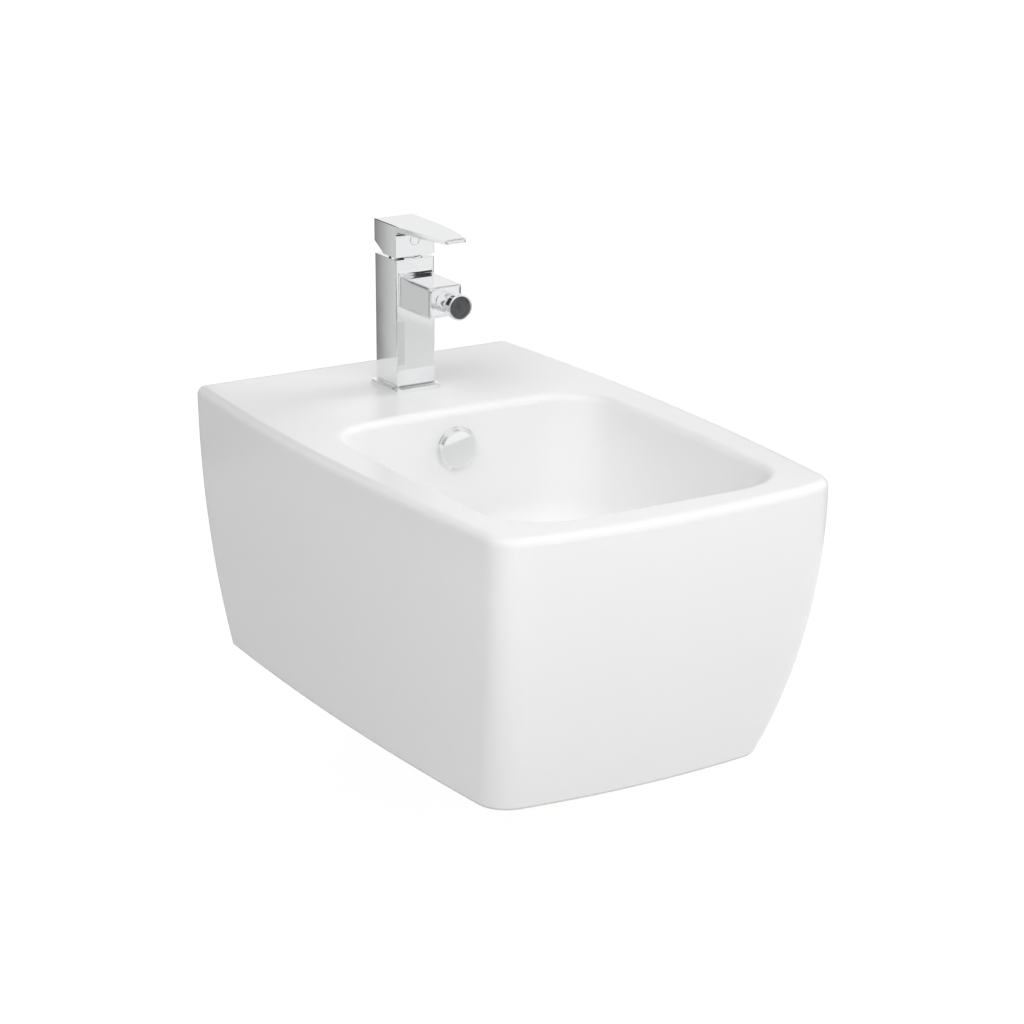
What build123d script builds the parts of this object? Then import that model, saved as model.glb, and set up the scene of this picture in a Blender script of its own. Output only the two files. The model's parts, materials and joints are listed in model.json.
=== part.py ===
from build123d import *
from math import cos, radians, sin, sqrt
import os

# Wall-hung bidet with its single-lever tap, overflow and click-clack waste.
# Millimetres. The wall is the plane Y = 0 and the bidet stands out towards -Y.
# +Z is up, and the origin lies midway between the two wall bolts.
# Depths are measured down from the rim, and heights up from it.

# Ceramic body
BODY_L = 560.0          # wall to the middle of the front edge
BODY_W = 359.0          # rim at its widest
BODY_H = 260.0          # rim to underside
RIM_Z = 80.0            # rim above the wall bolts
WIDEST_Y = 249.0        # distance of the widest place from the wall
SIDE_R = 2850.0         # bow of the long sides, seen from above
FRONT_R = 851.0         # bow of the front, seen from above
CORNER_R = 29.0         # front corners
SIDE_DRAW = 33.0        # how far the sides come in down to the underside
BACK_DRAW = 30.0        # the same where the sides meet the wall
FRONT_DRAW = 64.0       # the same at the front
RIM_EDGE_R = 7.5        # rounding of the rim's outer edge
FOOT_EDGE_R = 2.5       # rounding of the lower edge
SKIRT_T = 12.0          # skirt wall
DECK_T = 18.0           # ledge under the tap, and the rim
BACK_T = 14.0           # web against the wall
WEB_DROP = 112.0        # depth of the web's lower edge
PIPE_GAP_W = 236.0      # opening for the pipes under the web
PIPE_GAP_R = 20.0       # its upper corners

# Bowl
RIM_SIDE = 35.0         # flat rim beside the bowl
RIM_FRONT = 31.0        # flat rim in front of the bowl
BOWL_BACK = 188.0       # wall to the middle of the bowl's back wall
BOWL_DEPTH = 140.0      # rim to the lowest place of the floor
BOWL_EDGE_R = 7.0       # rounding of the rim's inner edge
BOWL_BOW = 3.0          # bow of the bowl's sides and front
BACK_BOW = 5.0          # bow of its back wall, towards the tap
BOWL_CORNER_BACK = 48.0
BOWL_CORNER_FRONT = 55.0
BOWL_DRAFT = 0.07       # how the sides and front lean in
FLOOR_R = 38.0          # rounding between walls and floor
FLOOR_BALL_R = 900.0    # dish of the floor
BOWL_T = 11.0           # wall of the bowl

# Wall fixing
BOLT_SPACING = 180.0
BOLT_HOLE_R = 8.5       # hole in the ceramic
BOLT_R = 6.0            # wall stud that the owner brings
LUG_R = 22.0
LUG_L = 26.0            # thickness of the ceramic at the bolts
SLEEVE_BORE_R = 6.5
SLEEVE_FLANGE_R = 13.0
SLEEVE_FLANGE_T = 2.0
FIXING_RUBBER_T = 3.0
FIXING_WASHER_T = 2.5
FIXING_WASHER_R = 15.0
FIXING_NUT_AF = 19.0
FIXING_NUT_T = 10.0

# Clearances
SLIP = 0.2              # loose fit between pieces that don't move
THREAD_GAP = 0.05       # screwed together
RUN = 0.06              # turning or sliding on each other
PAST = 1.0              # how far a cutting shape runs past a face, and a bore past what is screwed in

# Tap body
TAP_Y = 94.5            # wall to the tap's axis
TAP_SIDE = 40.0         # square column
TAP_TOP = 124.2         # top of the column above the rim
TAP_EDGE_R = 0.8
TAP_HOLE_R = 17.5       # hole in the ledge
SPIGOT_R = 16.0
PLATE_SIDE = 49.5
PLATE_T = 4.5
PLATE_CORNER_R = 5.0
PLATE_EDGE = 0.8
SPOUT_W = 35.0
SPOUT_TAPER = 0.6       # how much each side comes in towards the front
SPOUT_TOP = 109.3
SPOUT_H = 28.3
SPOUT_REACH = 55.0      # column front to spout front
SPOUT_FILLET = 5.3
WATERWAY_R = 3.5
WATERWAY_DROP = 4.6     # cross channel below the cartridge
WATERWAY_RISE = 19.0    # spout front to the riser

# Tap clamping and hoses
STUD_R = 4.0
STUD_L = 80.0
STUD_END_CHAMFER = 0.6
STUD_IN = 18.0          # length screwed into the body
STUD_OFFSET = 10.5      # in front of the tap's axis
PORT_R = 4.6            # threaded ports for the flexible hoses
PORT_L = 14.0
PORT_SPACING = 15.0
PORT_OFFSET = 3.0       # behind the tap's axis
CLAMP_R = 25.0
CLAMP_SLOT_W = 26.0
CLAMP_SLOT_START = 5.0  # in front of the tap's axis
CLAMP_RUBBER_T = 3.0
CLAMP_WASHER_T = 2.5
STUD_NUT_AF = 13.0
STUD_NUT_L = 20.0
BASE_SEAL_R = 21.5
BASE_SEAL_W = 3.0
BASE_SEAL_T = 1.6

# Cartridge, turret and dome
CARTRIDGE_R = 13.0
CARTRIDGE_L = 21.2
CARTRIDGE_SEAT = 92.0   # floor of the cartridge bore above the rim
NUT_R = 15.5            # thread of the cartridge nut
NUT_LIP_R = 8.6
NUT_THREAD_L = 5.3
NUT_HEX_AF = 23.4
NUT_HEX_L = 5.0
LEVER_PIVOT = 128.0     # lever pivot above the rim
DOME_R = 15.5
DOME_T = 1.3
DOME_RISE = 4.0         # dome above the pivot
DOME_LIP_L = 3.4
TURRET_R = 8.2
TURRET_LIFT = 0.1       # turret above the cartridge
TURRET_FLANGE_R = 10.2
TURRET_FLANGE_T = 2.2
TURRET_RISE = 6.0       # turret above the pivot
TURRET_SLOT_DROP = 10.0 # slot's floor below the pivot
STEM_SIDE = 8.0
STEM_DROP = 8.5         # stem's end below the pivot
STEM_RISE = 22.0        # stem's end above the pivot
PIN_R = 1.5
PIN_L = 14.0
SEAL_RING_R = 4.5
SEAL_RING_T = 1.6
CARTRIDGE_LIFT = 0.8    # cartridge above the bore's floor, held off by the seal rings

# Lever
LEVER_TOP = 156.5
LEVER_W = 40.4
LEVER_BACK = 20.2       # axis to the back of the handle
LEVER_NECK = 20.0       # axis to the front of the neck
LEVER_REACH = 95.5      # axis to the tip
LEVER_TIP_W = 19.6
LEVER_STRAIGHT = 17.5   # axis to where the sides start to close in
LEVER_TIP_T = 4.0
LEVER_ROOT_T = 4.9
LEVER_GAP = 2.4         # between the handle and the column
LEVER_CHAMFER_Z = 20.5  # depth of the back's upright part
LEVER_CHAMFER_Y = 17.2  # how far the chamfer comes forward
LEVER_FILLET = 7.0
LEVER_EDGE_R = 0.6
CAVITY_GAP = 0.7        # between the dome and the hollow over it
CAVITY_RISE = 10.6      # hollow's roof above the pivot
CAP_RISE = 13.5         # indicator above the pivot
CAP_R = 4.75
CAP_DEPTH = 2.0
CAP_PROUD = 0.3
GRUB_R = 2.5
GRUB_L = 9.0
KEY_AF = 2.5            # six-sided socket in its end
KEY_DEPTH = 3.0

# Ball-jointed nozzle
NOZZLE_Z = 95.3         # nozzle's axis above the rim
BALL_OUT = 8.5          # spout front to the ball's centre
BALL_R = 6.6
SEAT_T = 0.9
SEAT_FRONT = 55.0       # half-angle of the seat band's front opening
COLLAR_R = 9.3
COLLAR_NOSE_R = 10.5    # domed nose, about the ball's centre
COLLAR_MOUTH_R = 6.9
NIPPLE_IN = 12.0        # length screwed into the spout
NIPPLE_FRONT = 2.6      # behind the ball's centre
NIPPLE_BORE_R = 3.4
NIPPLE_CUP_GAP = 0.15   # between the seat band and the nipple's cup
BALL_SEAL_R = 0.5       # section of the seal ring
BALL_SEAL_ANGLE = 145.0 # from the nozzle's axis
NECK_R = 4.0
NECK_BORE_R = 2.7
HEAD_GAP = 0.5          # seam between the nose and the head
HEAD_R = 12.0
HEAD_BACK_R = 9.6
HEAD_EDGE_R = 0.5
HEAD_FLARE_L = 7.0      # flare behind the cylinder
HEAD_REACH = 19.0       # ball's centre to the nozzle's front
HEAD_BORE_R = 10.5
HEAD_BORE_L = 6.6
AERATOR_SEAL_T = 1.0
AERATOR_SEAL_W = 3.0
SCREEN_T = 0.6
SCREEN_IN = 0.5         # how far the screen lies behind the front
CAGE_WALL = 1.2

# Overflow
OVERFLOW_DEPTH = 37.4   # centre below the rim
OVERFLOW_HOLE_R = 12.5
COVER_R = 20.5
COVER_SEAT_R = 22.0     # flat place in the bowed wall, under the cover
COVER_RING_T = 2.2
COVER_FACE_R = 18.0
COVER_FACE_OUT = 5.4    # face in front of the wall
COVER_EDGE_R = 1.0
COVER_SLOT_H = 8.0      # water inlet in the cover's lower edge
INSERT_T = 1.6
INSERT_L = 12.0
DUCT_W = 40.0
DUCT_D = 18.0
DUCT_T = 8.0            # ceramic round the duct
DUCT_ABOVE = 2.0        # duct's roof above the overflow hole
DUCT_TURN = 10.0        # turn towards the waste, above the waste's windows

# Waste
WASTE_Y = 285.0         # wall to the waste's axis
WASTE_HOLE_R = 23.0
WASTE_BOSS_R = 37.0
WASTE_BOSS_L = 40.0     # floor to the boss's underside
FLANGE_R = 32.0
FLANGE_T = 2.4
FLANGE_SEAL_T = 1.2
FLANGE_SEAL_IN = 1.0    # seal inside the flange's edge
RECESS_T = 3.0
RECESS_GAP = 1.0
TAIL_R = 20.95          # outside of the threaded tail
TAIL_BORE_R = 18.4
TAIL_END = 72.0         # floor to the tail's end
TRAP_THREAD_L = 15.0    # thread for the trap's nut
THREAD_GROOVE_W = 2.0   # groove between this thread and the back nut's
THREAD_GROOVE_D = 0.8
WASTE_SLOT_W = 12.0
WASTE_SLOT_TOP = 12.0   # below the floor
WASTE_SLOT_H = 14.0
SPIDER_DEPTH = 34.0     # below the floor
SPIDER_T = 4.0
SPIDER_ARM_W = 4.0
CLICK_R = 7.0
CLICK_L = 26.0
CLICK_FLOOR = 2.0       # closed end under the plug's stem
PLUG_LIFT = 8.0         # plug's travel
PLUG_R = 23.0
PLUG_T = 3.0
PLUG_DOME = 1.5
PLUG_STEM_R = 3.0
PLUG_STEM_L = 30.0
PLUG_SEAL_T = 1.6
PLUG_SEAL_IN = 1.0      # seal inside the plug's edge
PLUG_SHUT_GAP = 0.2     # left under the seal when the plug is down
LOWER_SEAL_R = 29.0
LOWER_SEAL_T = 4.0
BACK_NUT_AF = 52.0
BACK_NUT_T = 10.0

# Places worked out from the sizes above
FLOOR_Z = RIM_Z - BOWL_DEPTH
TAP_FRONT = TAP_Y + TAP_SIDE / 2
SPOUT_FRONT = TAP_FRONT + SPOUT_REACH
BALL_Y = SPOUT_FRONT + BALL_OUT
BALL_Z = RIM_Z + NOZZLE_Z
PIVOT_Z = RIM_Z + LEVER_PIVOT
TAP_TOP_Z = RIM_Z + TAP_TOP
CARTRIDGE_TOP = RIM_Z + CARTRIDGE_SEAT + CARTRIDGE_L
OVERFLOW_Z = RIM_Z - OVERFLOW_DEPTH
SEAT_R = BALL_R + SEAT_T
SOCKET_R = SEAT_R + RUN
NIPPLE_R = SOCKET_R
NECK_END = BALL_Y + HEAD_REACH - HEAD_BORE_L
NEAR = 0.01             # an edge this near a plane lies in it
LOW = (Align.CENTER, Align.CENTER, Align.MIN)


# Helpers
def post(radius, low, high, x=0.0, y=0.0):
    """Round post along Z between two heights."""
    return Pos(x, y, low) * Cylinder(radius, high - low, align=LOW)


def bar(radius, near, far, x=0.0, z=0.0):
    """Round bar along Y, from near the wall to far from it (distances from the wall)."""
    return Pos(x, -near, z) * Rot(X=90) * Cylinder(radius, far - near, align=LOW)


def tube(outer, inner, low, high, x=0.0, y=0.0):
    """Round tube along Z."""
    return post(outer, low, high, x, y) - post(inner, low - PAST, high + PAST, x, y)


def block(x0, x1, y0, y1, z0, z1):
    """Square block between two corners."""
    return Pos((x0 + x1) / 2, (y0 + y1) / 2, (z0 + z1) / 2) * Box(x1 - x0, y1 - y0, z1 - z0)


def hex_post(across_flats, low, high, x=0.0, y=0.0):
    """Six-sided post along Z."""
    shape = RegularPolygon(across_flats / 2, 6, major_radius=False)
    return Pos(x, y, low) * extrude(shape, high - low)


def side_profile(points, half_width):
    """Plate cut to an outline in the YZ plane, centred on X = 0."""
    outline = Plane.YZ * make_face(Polyline(*points, close=True))
    return extrude(outline, half_width, both=True)


def save(name, shape):
    """Write one piece under its node name."""
    export_step(shape, f"parts/{name}.step")


# Ceramic
def arc_in(depth, draw):
    """How far a wall has come in at a depth, on an arc that starts upright at the rim."""
    radius = (BODY_H**2 + draw**2) / (2 * draw)
    return radius - sqrt(radius**2 - depth**2)


def skirt_outline(depth, wall):
    """Outline of the skirt at a depth, drawn in by a wall and run a little past the wall face."""
    widest = BODY_W / 2 - arc_in(depth, SIDE_DRAW) - wall
    at_wall = BODY_W / 2 - (WIDEST_Y + PAST) ** 2 / (2 * SIDE_R) - arc_in(depth, BACK_DRAW) - wall
    front = BODY_L - arc_in(depth, FRONT_DRAW) - wall
    half = widest
    for _ in range(5):
        corner = front - half**2 / (2 * FRONT_R)
        half = widest - (corner - WIDEST_Y) ** 2 / (2 * SIDE_R)
    right = ThreePointArc((at_wall, PAST), (widest, -WIDEST_Y), (half, -corner))
    nose = ThreePointArc((half, -corner), (0, -front), (-half, -corner))
    left = ThreePointArc((-half, -corner), (-widest, -WIDEST_Y), (-at_wall, PAST))
    rear = Line((-at_wall, PAST), (at_wall, PAST))
    face = make_face([right, nose, left, rear])
    corners = face.vertices().group_by(Axis.Y)[0]
    return Pos(0, 0, RIM_Z - depth) * fillet(corners, CORNER_R - wall)


def skirt(wall, back, top, bottom):
    """Solid inside the skirt's outline between two depths, cut flat at a distance from the wall."""
    steps = 4
    depths = [top + (bottom - top) * i / steps for i in range(steps + 1)]
    solid = loft([skirt_outline(d, wall) for d in depths])
    return solid & block(-BODY_W, BODY_W, -BODY_L - PAST, -back, RIM_Z - bottom, RIM_Z - top)


def bowl_outline(depth, grow):
    """Outline of the bowl's walls at a depth, grown by a wall thickness."""
    lean = BOWL_DRAFT * depth
    half = BODY_W / 2 - RIM_SIDE - BOWL_EDGE_R - lean + grow
    front = BODY_L - RIM_FRONT - BOWL_EDGE_R - lean + grow
    back = BOWL_BACK - grow
    middle = (back + front) / 2
    corner_x = half - BOWL_BOW
    corner_y = front - BOWL_BOW
    rear_y = back + BACK_BOW
    right = ThreePointArc((corner_x, -rear_y), (half, -middle), (corner_x, -corner_y))
    nose = ThreePointArc((corner_x, -corner_y), (0, -front), (-corner_x, -corner_y))
    left = ThreePointArc((-corner_x, -corner_y), (-half, -middle), (-corner_x, -rear_y))
    rear = ThreePointArc((-corner_x, -rear_y), (0, -back), (corner_x, -rear_y))
    face = make_face([right, nose, left, rear])
    face = fillet(face.vertices().group_by(Axis.Y)[0], BOWL_CORNER_FRONT + grow)
    face = fillet(face.vertices().group_by(Axis.Y)[-1], BOWL_CORNER_BACK + grow)
    return Pos(0, 0, RIM_Z - depth) * face


def bowl(grow):
    """The bowl as a solid: its hollow, or its outside when grown by the wall."""
    below = BOWL_DEPTH + grow + PAST
    walls = loft([bowl_outline(-PAST, grow), bowl_outline(below, grow)])
    ball = Pos(0, -WASTE_Y, FLOOR_Z + FLOOR_BALL_R) * Sphere(FLOOR_BALL_R + grow)
    dished = walls & ball
    floor = dished.faces().filter_by(GeomType.SPHERE)[0]
    return fillet(floor.edges(), FLOOR_R + grow)


def overflow_duct(wall):
    """Channel behind and under the bowl, from the overflow down to the waste's side."""
    near = BOWL_BACK - BOWL_T
    far = near - DUCT_D
    top = OVERFLOW_Z + OVERFLOW_HOLE_R + DUCT_ABOVE
    slot_top = FLOOR_Z - WASTE_SLOT_TOP
    slot_low = slot_top - WASTE_SLOT_H
    turn = slot_top + DUCT_TURN
    end = WASTE_Y - (WASTE_HOLE_R if wall == 0 else WASTE_BOSS_R - wall)
    points = [
        (-far + wall, top + wall),
        (-near - 2 * wall, top + wall),
        (-near - 2 * wall, turn),
        (-end, slot_top + wall),
        (-end, slot_low - wall),
        (-far + wall, turn - DUCT_D - wall),
    ]
    return side_profile(points, DUCT_W / 2 + wall)


def make_ceramic():
    """Shell with rim, ledge, bowl, overflow channel, waste boss and the web for the wall."""
    outside = skirt(0, 0, 0, BODY_H)
    rim_edges = [e for e in outside.edges() if e.center().Z > RIM_Z - NEAR and e.center().Y < -NEAR]
    outside = fillet(rim_edges, RIM_EDGE_R)
    bottom = RIM_Z - BODY_H
    foot_edges = [e for e in outside.edges() if e.center().Z < bottom + NEAR and e.center().Y < -NEAR]
    outside = fillet(foot_edges, FOOT_EDGE_R)
    hollow = bowl(0)
    body = outside - hollow
    lip = [e for e in body.edges() if e.center().Z > RIM_Z - NEAR and inside_rim(e.center())]
    body = fillet(lip, BOWL_EDGE_R)
    room = skirt(SKIRT_T, BACK_T, DECK_T, BODY_H + PAST)
    boss = post(WASTE_BOSS_R, FLOOR_Z - WASTE_BOSS_L, FLOOR_Z, 0, -WASTE_Y)
    lugs = [bar(LUG_R, 0, LUG_L, x) for x in bolt_places()]
    room = room - bowl(BOWL_T) - overflow_duct(DUCT_T) - boss - lugs
    half = PIPE_GAP_W / 2
    gap = block(-half, half, -BACK_T - PAST, PAST, bottom - PAST, RIM_Z - WEB_DROP)
    corners = [e for e in gap.edges().filter_by(Axis.Y) if e.center().Z > bottom]
    gap = fillet(corners, PIPE_GAP_R)
    body = body - room - gap - (overflow_duct(0) - bowl(BOWL_T - PAST))
    body -= bar(OVERFLOW_HOLE_R, BOWL_BACK - BOWL_T - PAST, BOWL_BACK + PAST, 0, OVERFLOW_Z)
    body -= bar(COVER_SEAT_R, BOWL_BACK, BOWL_BACK + PAST, 0, OVERFLOW_Z)
    body -= post(WASTE_HOLE_R, FLOOR_Z - WASTE_BOSS_L - PAST, FLOOR_Z + PAST, 0, -WASTE_Y)
    body -= post(FLANGE_R + RECESS_GAP, FLOOR_Z - RECESS_T, FLOOR_Z + RECESS_T, 0, -WASTE_Y)
    body -= post(TAP_HOLE_R, RIM_Z - DECK_T - PAST, RIM_Z + PAST, 0, -TAP_Y)
    body -= [bar(BOLT_HOLE_R, -PAST, LUG_L + PAST, x) for x in bolt_places()]
    return body


def inside_rim(place):
    """True for an edge on the bowl's side of the flat rim."""
    beside = abs(place.X) < BODY_W / 2 - RIM_SIDE / 2
    return beside and -BODY_L + RIM_FRONT / 2 < place.Y < -BOWL_BACK + NEAR


def bolt_places():
    """Both wall bolts, left and right."""
    return [-BOLT_SPACING / 2, BOLT_SPACING / 2]


# Wall fixing
def make_wall_fixing():
    """Sleeves in the ceramic, and the rubber washers, washers and nuts in front of it."""
    nut_start = LUG_L + SLEEVE_FLANGE_T + FIXING_RUBBER_T + FIXING_WASHER_T
    sleeves, rubbers, washers, nuts = [], [], [], []
    for x in bolt_places():
        way = bar(SLEEVE_BORE_R, -PAST, nut_start + PAST, x)
        rubber_start = LUG_L + SLEEVE_FLANGE_T
        washer_start = rubber_start + FIXING_RUBBER_T
        sleeve = bar(BOLT_HOLE_R - THREAD_GAP, 0, rubber_start, x)
        sleeve += bar(SLEEVE_FLANGE_R, LUG_L, rubber_start, x)
        sleeves.append(sleeve - way)
        rubbers.append(bar(SLEEVE_FLANGE_R, rubber_start, washer_start, x) - way)
        washers.append(bar(FIXING_WASHER_R, washer_start, nut_start, x) - way)
        nut = Pos(x, -nut_start, 0) * Rot(X=90) * hex_post(FIXING_NUT_AF, 0, FIXING_NUT_T)
        nuts.append(nut - bar(BOLT_R + THREAD_GAP, 0, nut_start + FIXING_NUT_T + PAST, x))
    save("fixing_sleeves", Compound(sleeves))
    save("fixing_rubbers", Compound(rubbers))
    save("fixing_washers", Compound(washers))
    save("fixing_nuts", Compound(nuts))


# Tap
def make_tap_body():
    """Square column with the spout block, its waterways, bores and threaded ports."""
    half = TAP_SIDE / 2
    low = RIM_Z + PLATE_T
    column = block(-half, half, -TAP_FRONT, -TAP_Y + half, low, TAP_TOP_Z)
    column = fillet(column.edges().filter_by(Axis.Z), TAP_EDGE_R)
    spout_low = SPOUT_TOP - SPOUT_H + RIM_Z
    front_half = SPOUT_W / 2 - SPOUT_TAPER
    plan = Polyline(
        (SPOUT_W / 2, -TAP_Y),
        (front_half, -SPOUT_FRONT),
        (-front_half, -SPOUT_FRONT),
        (-SPOUT_W / 2, -TAP_Y),
        close=True,
    )
    spout = Pos(0, 0, spout_low) * extrude(make_face(plan), SPOUT_H)
    front_edges = spout.edges().filter_by(Axis.Z).group_by(Axis.Y)[0]
    spout = fillet(front_edges, TAP_EDGE_R)
    body = column + spout
    roof = spout_low + SPOUT_H
    root = [
        e
        for e in body.edges().filter_by(Axis.X)
        if abs(e.center().Y + TAP_FRONT) < NEAR and abs(e.center().Z - roof) < NEAR
    ]
    body = fillet(root, SPOUT_FILLET)
    body += post(SPIGOT_R, RIM_Z, low + PAST, 0, -TAP_Y)
    seat = RIM_Z + CARTRIDGE_SEAT
    body -= post(CARTRIDGE_R + SLIP, seat, TAP_TOP_Z + PAST, 0, -TAP_Y)
    body -= post(NUT_R, CARTRIDGE_TOP, TAP_TOP_Z + PAST, 0, -TAP_Y)
    for side in (-1, 1):
        x = side * PORT_SPACING / 2
        y = -TAP_Y + PORT_OFFSET
        body -= post(PORT_R, RIM_Z - PAST, RIM_Z + PORT_L, x, y)
        body -= post(WATERWAY_R, RIM_Z, seat + PAST, x, y)
    stud_y = -TAP_Y - STUD_OFFSET
    body -= post(STUD_R + THREAD_GAP, RIM_Z - PAST, RIM_Z + STUD_IN + PAST, 0, stud_y)
    riser = SPOUT_FRONT - WATERWAY_RISE
    outlet = TAP_Y + CARTRIDGE_R / 2
    cross = seat - WATERWAY_DROP
    body -= post(WATERWAY_R, cross, seat + PAST, 0, -outlet)
    body -= bar(WATERWAY_R, outlet, riser, 0, cross)
    body -= post(WATERWAY_R, cross, BALL_Z, 0, -riser)
    body -= bar(WATERWAY_R, riser, SPOUT_FRONT - PAST, 0, BALL_Z)
    thread_end = SPOUT_FRONT - NIPPLE_IN - PAST
    body -= bar(NIPPLE_R + THREAD_GAP, thread_end, SPOUT_FRONT + PAST, 0, BALL_Z)
    return body


def make_base_plate():
    """Square plate between the column and the ledge, with a groove for the base seal."""
    plate = RectangleRounded(PLATE_SIDE, PLATE_SIDE, PLATE_CORNER_R)
    plate = Pos(0, -TAP_Y, RIM_Z) * extrude(plate, PLATE_T)
    plate = chamfer(plate.edges().group_by(Axis.Z)[-1], PLATE_EDGE)
    plate -= post(SPIGOT_R + SLIP, RIM_Z - PAST, RIM_Z + PLATE_T + PAST, 0, -TAP_Y)
    groove = tube(BASE_SEAL_R, BASE_SEAL_R - BASE_SEAL_W, RIM_Z - PAST, RIM_Z + BASE_SEAL_T)
    return plate - Pos(0, -TAP_Y, 0) * groove


def make_base_seal():
    """Flat rubber ring in the plate's groove."""
    inner = BASE_SEAL_R - BASE_SEAL_W
    return tube(BASE_SEAL_R, inner, RIM_Z, RIM_Z + BASE_SEAL_T, 0, -TAP_Y)


def clamp_piece(low, high):
    """Horseshoe round the hoses, with a hole for the stud."""
    piece = post(CLAMP_R, low, high, 0, -TAP_Y)
    half = CLAMP_SLOT_W / 2
    start = -TAP_Y - CLAMP_SLOT_START
    piece -= block(-half, half, start, start + 2 * CLAMP_R, low - PAST, high + PAST)
    return piece - post(STUD_R + SLIP, low - PAST, high + PAST, 0, -TAP_Y - STUD_OFFSET)


def make_tap_clamp():
    """Stud under the tap with its horseshoe washers and long nut."""
    y = -TAP_Y - STUD_OFFSET
    top = RIM_Z + STUD_IN
    stud = post(STUD_R, top - STUD_L, top, 0, y)
    save("tap_stud", chamfer(stud.edges().filter_by(GeomType.CIRCLE), STUD_END_CHAMFER))
    rubber_low = RIM_Z - DECK_T - CLAMP_RUBBER_T
    washer_low = rubber_low - CLAMP_WASHER_T
    nut_low = washer_low - STUD_NUT_L
    save("clamp_rubber", clamp_piece(rubber_low, RIM_Z - DECK_T))
    save("clamp_washer", clamp_piece(washer_low, rubber_low))
    nut = hex_post(STUD_NUT_AF, nut_low, washer_low, 0, y)
    save("stud_nut", nut - post(STUD_R + THREAD_GAP, nut_low - PAST, washer_low + PAST, 0, y))


# Cartridge
def seal_places():
    """The three ports in the cartridge's base: hot, cold and mixed."""
    spread = CARTRIDGE_R / 2
    hot = (-PORT_SPACING / 2, PORT_OFFSET)
    cold = (PORT_SPACING / 2, PORT_OFFSET)
    return [hot, cold, (0, -spread)]


def make_cartridge():
    """Cartridge housing, the seal rings under it, and the ring nut that holds it down."""
    seat = RIM_Z + CARTRIDGE_SEAT
    housing = post(CARTRIDGE_R, seat + CARTRIDGE_LIFT, CARTRIDGE_TOP, 0, -TAP_Y)
    rings = []
    for x, y in seal_places():
        place = Pos(x, y - TAP_Y, 0)
        ring = place * tube(SEAL_RING_R, WATERWAY_R, seat, seat + SEAL_RING_T)
        rings.append(ring)
        housing = housing - ring - place * post(WATERWAY_R, seat, seat + CARTRIDGE_L / 2)
    save("cartridge_body", housing)
    save("cartridge_seals", Compound(rings))
    flange_top = CARTRIDGE_TOP + TURRET_LIFT + TURRET_FLANGE_T + TURRET_LIFT
    thread_top = CARTRIDGE_TOP + NUT_THREAD_L
    nut = post(NUT_R - THREAD_GAP, CARTRIDGE_TOP, thread_top, 0, -TAP_Y)
    nut += hex_post(NUT_HEX_AF, thread_top, thread_top + NUT_HEX_L, 0, -TAP_Y)
    nut -= post(NUT_LIP_R, CARTRIDGE_TOP - PAST, thread_top + NUT_HEX_L + PAST, 0, -TAP_Y)
    nut -= post(TURRET_FLANGE_R + SLIP, CARTRIDGE_TOP - PAST, flange_top, 0, -TAP_Y)
    save("cartridge_nut", nut)


def make_dome():
    """Domed trim ring about the lever's pivot, with a lip that sits in the column."""
    centre = Pos(0, -TAP_Y, PIVOT_Z)
    shell = centre * (Sphere(DOME_R) - Sphere(DOME_R - DOME_T))
    top = PIVOT_Z + DOME_RISE
    dome = shell & post(DOME_R + PAST, TAP_TOP_Z, top, 0, -TAP_Y)
    drop = TAP_TOP_Z - DOME_LIP_L
    outer = sqrt(DOME_R**2 - (PIVOT_Z - TAP_TOP_Z) ** 2)
    return dome + tube(outer, outer - DOME_T, drop, TAP_TOP_Z, 0, -TAP_Y)


def make_turret():
    """Turning part of the cartridge, slotted for the lever's stem."""
    low = CARTRIDGE_TOP + TURRET_LIFT
    top = PIVOT_Z + TURRET_RISE
    turret = post(TURRET_R, low, top, 0, -TAP_Y)
    turret += post(TURRET_FLANGE_R, low, low + TURRET_FLANGE_T, 0, -TAP_Y)
    half = STEM_SIDE / 2 + SLIP / 2
    slot_low = PIVOT_Z - TURRET_SLOT_DROP
    reach = TURRET_R + PAST
    slot = block(-half, half, -TAP_Y - reach, -TAP_Y + reach, slot_low, top + PAST)
    hole = Pos(0, -TAP_Y, PIVOT_Z) * Rot(Y=90) * Cylinder(PIN_R, PIN_L)
    return turret - slot - hole


def make_turret_pin():
    """Pin across the turret that the stem rocks on."""
    return Pos(0, -TAP_Y, PIVOT_Z) * Rot(Y=90) * Cylinder(PIN_R, PIN_L)


def make_lever_stem():
    """Square stem that the handle sits on."""
    half = STEM_SIDE / 2
    low = PIVOT_Z - STEM_DROP
    stem = block(-half, half, -TAP_Y - half, -TAP_Y + half, low, PIVOT_Z + STEM_RISE)
    hole = Pos(0, -TAP_Y, PIVOT_Z) * Rot(Y=90) * Cylinder(PIN_R + RUN, PIN_L)
    return stem - hole


# Lever
def lever_plan():
    """The handle seen from above: straight at the neck, closing in on an arc to the tip."""
    wide = LEVER_W / 2
    tip = LEVER_TIP_W / 2
    start = TAP_Y + LEVER_STRAIGHT
    end = TAP_Y + LEVER_REACH
    back = TAP_Y - LEVER_BACK
    run = end - start
    drop = wide - tip
    radius = (run**2 + drop**2) / (2 * drop)
    middle = wide - radius + sqrt(radius**2 - (run / 2) ** 2)
    right = ThreePointArc((wide, -start), (middle, -(start + end) / 2), (tip, -end))
    left = ThreePointArc((-tip, -end), (-middle, -(start + end) / 2), (-wide, -start))
    rear = Polyline((-wide, -start), (-wide, -back), (wide, -back), (wide, -start))
    return make_face([right, Line((tip, -end), (-tip, -end)), left, rear])


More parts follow.
